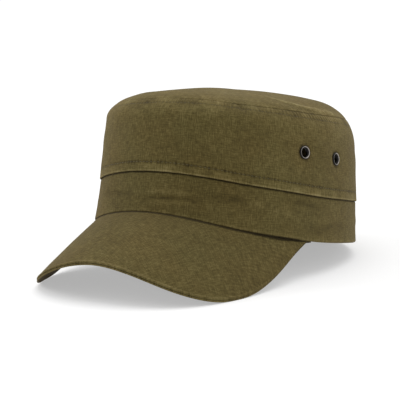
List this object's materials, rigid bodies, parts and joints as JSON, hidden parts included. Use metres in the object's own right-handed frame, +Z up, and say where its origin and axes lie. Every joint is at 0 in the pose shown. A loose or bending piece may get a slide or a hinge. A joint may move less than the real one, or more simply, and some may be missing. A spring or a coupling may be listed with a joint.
{
  "type": "patrol cap",
  "caption": "Soft olive patrol cap with a flat oval top, a lapped side panel, a plain band, a curved peak and metal eyelets.",
  "frame": {"origin": "on the surface that the cap rests on, under the middle of its box", "axes": "+Z up, -Y towards the front of the cap and its peak, +X towards the wearer's left"},
  "size_m": [0.174, 0.2718, 0.1236],
  "materials": {
    "crown_cloth": "washed olive cotton twill, matt, with lighter worn seams",
    "band_cloth": "washed olive cotton twill, matt, a little darker",
    "peak_cloth": "washed olive cotton twill stretched over a stiff core, matt",
    "eyelet_metal": "plated brass in an antique gunmetal finish, worn bright on the rim"
  },
  "bodies": {
    "root": {"top_panel": "crown_cloth", "side_panel": "crown_cloth", "band": "band_cloth", "peak_upper": "peak_cloth", "peak_lower": "peak_cloth", "eyelet_left_front": "eyelet_metal", "eyelet_left_rear": "eyelet_metal", "eyelet_right_front": "eyelet_metal", "eyelet_right_rear": "eyelet_metal"}
  },
  "joints": []
}
